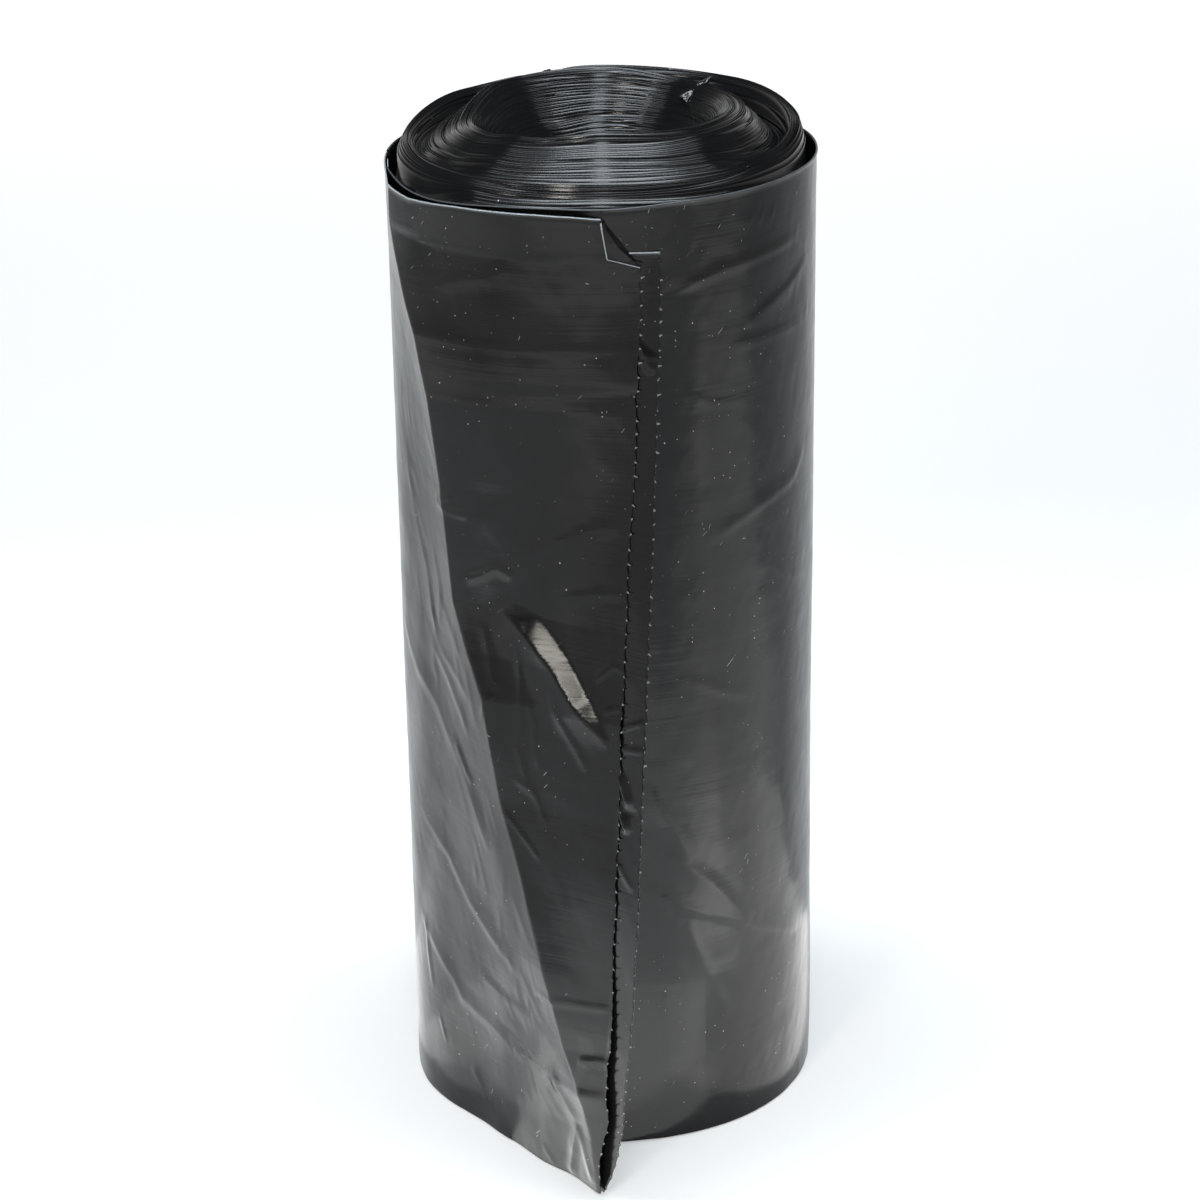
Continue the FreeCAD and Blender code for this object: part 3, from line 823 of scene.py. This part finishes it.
def tags(name, edge, place, seed):
    draw = np.random.default_rng(seed)
    points, faces = [], []
    height = 3.0
    while height < 328.0:
        reach = draw.uniform(0.5, 1.0) * (1.5 if len(points) % 2 else 1.0)
        width = draw.uniform(0.28, 0.45)
        tilt = draw.uniform(-0.35, 0.7)
        lift = draw.uniform(0.1, 0.9)
        base = float(edge(np.array(height))) + 0.1
        start = len(points) * 6
        steps = np.array([0.0, 0.55, 1.0])
        half = width * (1 - 0.6 * steps)
        bend = 0.1 + lift * steps ** 2
        side_a = place(base + steps * reach, height + steps * tilt + half, bend)
        side_b = place(base + steps * reach, height + steps * tilt - half, bend)
        points.append(np.concatenate([side_a, side_b]))
        faces += [[start + 3, start + 4, start + 1, start], [start + 4, start + 5, start + 2, start + 1]]
        height += PERFORATION_PITCH * draw.uniform(0.94, 1.06)
    return mesh_piece(name, np.concatenate(points), np.array(faces))


torn_film = film_material("torn_film", (0.15, 0.15, 0.15, 1.0), 0.40, 1.4, 0.2, 0.0)
outer_tags = tags(
    "outer_tags",
    OUTER_EDGE,
    lambda s, z, off: leaf_place(s, z, OUTER_RADIUS + 0.7, off=off + leaf_relief(s, z)),
    71,
)
inner_tags = tags(
    "inner_tags",
    INNER_EDGE,
    lambda s, z, off: leaf_place(s, z, OUTER_RADIUS + 0.35, parting(z), off + inner_relief(s, z)),
    72,
)
finish_piece(outer_tags, torn_film)
finish_piece(inner_tags, torn_film)


# ------------------------------------------------------------------------------------------------
# Slipped folds. In the hollow's wall at the right, and inside the crest at the back, a bit of film
# has been pulled out of line and stands over the edges as a small bright tongue.

def tongue(name, foot, tip, foot_width, tip_width, facing):
    """A narrow strip of film from foot to tip, bowed towards the side that it faces."""
    foot, tip, facing = (np.array(p, float) for p in (foot, tip, facing))
    way = tip - foot
    across = np.cross(facing, way)
    across /= np.linalg.norm(across)
    facing = np.cross(way, across)
    facing /= np.linalg.norm(facing)
    side, run = np.meshgrid(np.linspace(-1, 1, 14), np.linspace(0, 1, 22))
    width = foot_width + (tip_width - foot_width) * run
    bow = 0.5 * (1 - side ** 2) + 0.7 * np.sin(run * math.pi) + 0.12 * drift(side * 2, run * 9, 1.0, 1.0, 81)
    points = foot + run[..., None] * way + (side * width / 2)[..., None] * across + bow[..., None] * facing
    normal = np.broadcast_to(facing, points.shape)
    places = np.stack([side * width, run * 10.0], -1)
    points, normal, places = bordered(points, normal, places, 0, TORN)
    points, normal, places = bordered(points, normal, places, 1, TORN)
    return mesh_piece(name, points, grid_faces(*points.shape[:2]), places)


hollow_fold = tongue("hollow_fold", (29.0, 24.0, 360.6), (39.4, 31.2, 366.6), 5.0, 1.6, (0.0, -0.55, 0.84))
crest_fold = tongue("crest_fold", (-22.5, 61.5, 360.0), (-17.5, 62.5, 362.8), 2.2, 1.0, (0.0, -0.75, 0.66))
finish_piece(hollow_fold, edge_film)
finish_piece(crest_fold, edge_film)


# ------------------------------------------------------------------------------------------------
# Floor and room. A pale floor in a pale room with a darker ceiling. The floor and the room are white
# for what the camera, gloss and clear film see, and the floor keeps the roll's shadow.

def seen_share(tree):
    """1 for the rays of the camera, of gloss and of clear film, and 0 for the others."""
    path = tree.nodes.new("ShaderNodeLightPath").outputs
    seen = maths(tree, "MAXIMUM", path["Is Camera Ray"], path["Is Glossy Ray"])
    return maths(tree, "MAXIMUM", seen, path["Is Transmission Ray"])


world = bpy.data.worlds.new("pale_room")
bpy.context.scene.world = world
world.use_nodes = True
room = world.node_tree
background = room.nodes["Background"]
direction = room.nodes.new("ShaderNodeTexCoord").outputs["Generated"]
upward = wire(room, "ShaderNodeSeparateXYZ", Vector=direction)["Z"]
ceiling = wire(
    room, "ShaderNodeMapRange", Value=upward, From_Min=0.02, From_Max=0.36, To_Min=1.0, To_Max=0.10
)[0]
walls = maths(room, "MULTIPLY_ADD", seen_share(room), 0.25, 0.75)
put(room, background.inputs["Color"], (1.0, 1.0, 1.0, 1.0))
put(room, background.inputs["Strength"], maths(room, "MULTIPLY", walls, ceiling))

bpy.ops.mesh.primitive_plane_add(size=8.0, location=(0.0, 0.0, -0.0002))
floor = bpy.context.object
floor.name = "floor"
floor_material = bpy.data.materials.new("pale_floor")
floor_material.use_nodes = True
ground = floor_material.node_tree
paint = ground.nodes["Principled BSDF"]
paint.inputs["Base Color"].default_value = (0.64, 0.64, 0.64, 1.0)
paint.inputs["Roughness"].default_value = 0.9
paint.inputs["Emission Color"].default_value = (1.0, 1.0, 1.0, 1.0)
spot = ground.nodes.new("ShaderNodeTexCoord").outputs["Object"]
behind = wire(ground, "ShaderNodeSeparateXYZ", Vector=spot)["Y"]
glow = wire(ground, "ShaderNodeMapRange", Value=behind, From_Min=0.6, From_Max=1.9, To_Min=0.34, To_Max=0.95)[0]
put(ground, paint.inputs["Emission Strength"], maths(ground, "MULTIPLY", seen_share(ground), glow))
floor.data.materials.append(floor_material)


# ------------------------------------------------------------------------------------------------
# Lamps. A wide one overhead draws the turns' edges, one above the camera lights the hollow, a key
# and a low one stand at the left, and glowing cards on the floor shape the film's soft light.

def area_lamp(name, shape, width, tall, brightness, colour):
    """A flat lamp of a given brightness, where 1 is white paper."""
    lamp = bpy.data.lights.new(name, "AREA")
    lamp.shape = shape
    lamp.size = width
    lamp.size_y = tall
    lamp.energy = brightness * math.pi * width * tall
    lamp.color = colour
    holder = bpy.data.objects.new(name, lamp)
    bpy.context.scene.collection.objects.link(holder)
    holder.visible_camera = False
    return holder


def soft_lamp(name, azimuth, distance, height, width, tall, brightness, colour=(1.0, 1.0, 1.0)):
    """A softbox that faces the roll. Azimuth runs from the front and grows to the right."""
    holder = area_lamp(name, "ELLIPSE", width, tall, brightness, colour)
    turn = math.radians(azimuth)
    holder.location = (distance * math.sin(turn), -distance * math.cos(turn), height)
    aim = Vector((0.0, 0.0, min(height, 0.3))) - holder.location
    holder.rotation_euler = aim.to_track_quat("-Z", "Y").to_euler()


def floor_card(name, azimuth, near, far, width, brightness, colour=(1.0, 1.0, 1.0)):
    """A glowing card that lies on the floor beside the roll and lights it from below."""
    holder = area_lamp(name, "RECTANGLE", width, far - near, brightness, colour)
    turn = math.radians(azimuth)
    middle = (near + far) / 2
    holder.location = (middle * math.sin(turn), -middle * math.cos(turn), 0.0006)
    holder.rotation_euler = (math.pi, 0.0, turn)


COOL = (0.86, 0.94, 1.0)
WARM = (1.0, 0.98, 0.955)
soft_lamp("key", -55.0, 1.6, 1.15, 0.22, 0.22, 14.0, WARM)
soft_lamp("left_of_camera", -23.5, 1.2, 0.80, 0.27, 0.20, 26.0, (1.0, 0.95, 0.86))
soft_lamp("overhead", 0.0, 0.02, 1.5, 1.3, 0.36, 12.0, COOL)
soft_lamp("overhead_wide", 0.0, 0.01, 1.49, 2.6, 0.50, 3.0, COOL)
soft_lamp("above_camera", 0.0, 0.95, 1.75, 0.30, 0.66, 12.0, COOL)
floor_card("front_card", -15.0, 0.09, 0.42, 0.62, 1.4)
floor_card("foot_card", -4.0, 0.074, 0.26, 0.52, 1.8)
floor_card("right_foot_card", 70.0, 0.08, 0.34, 0.26, 1.8, WARM)
floor_card("left_foot_card", -98.0, 0.08, 0.30, 0.13, 0.8)
floor_card("corner_card", -62.0, 0.085, 0.16, 0.10, 0.9)
floor_card("left_card", -113.0, 0.30, 1.05, 0.28, 0.6)
floor_card("right_card", 50.0, 0.20, 1.10, 0.09, 2.0, WARM)
floor_card("right_wide_card", 64.0, 0.34, 1.25, 0.50, 1.1, WARM)
floor_card("far_card", 0.0, 1.08, 1.90, 2.60, 1.7, WARM)
floor_card("left_far_card", -72.0, 0.95, 2.90, 1.20, 0.9, WARM)


# ------------------------------------------------------------------------------------------------
# Camera. It stands in front of the roll and looks down on it, as the photograph does.

camera_data = bpy.data.cameras.new("camera")
camera = bpy.data.objects.new("camera", camera_data)
bpy.context.scene.collection.objects.link(camera)
camera_data.sensor_fit = "HORIZONTAL"
camera_data.sensor_width = 36.0
camera_data.lens = 102.5
camera_data.clip_start = 0.02
turned = Matrix.Rotation(math.radians(-0.071), 4, "Z")
tipped = Matrix.Rotation(math.radians(90.0 - 22.36), 4, "X")
leaning = Matrix.Rotation(math.radians(-0.85), 4, "Z")
camera.matrix_world = Matrix.Translation((-0.00401, -1.1445, 0.6531)) @ turned @ tipped @ leaning
bpy.context.scene.camera = camera

view = bpy.context.scene.view_settings
view.view_transform = "Standard"
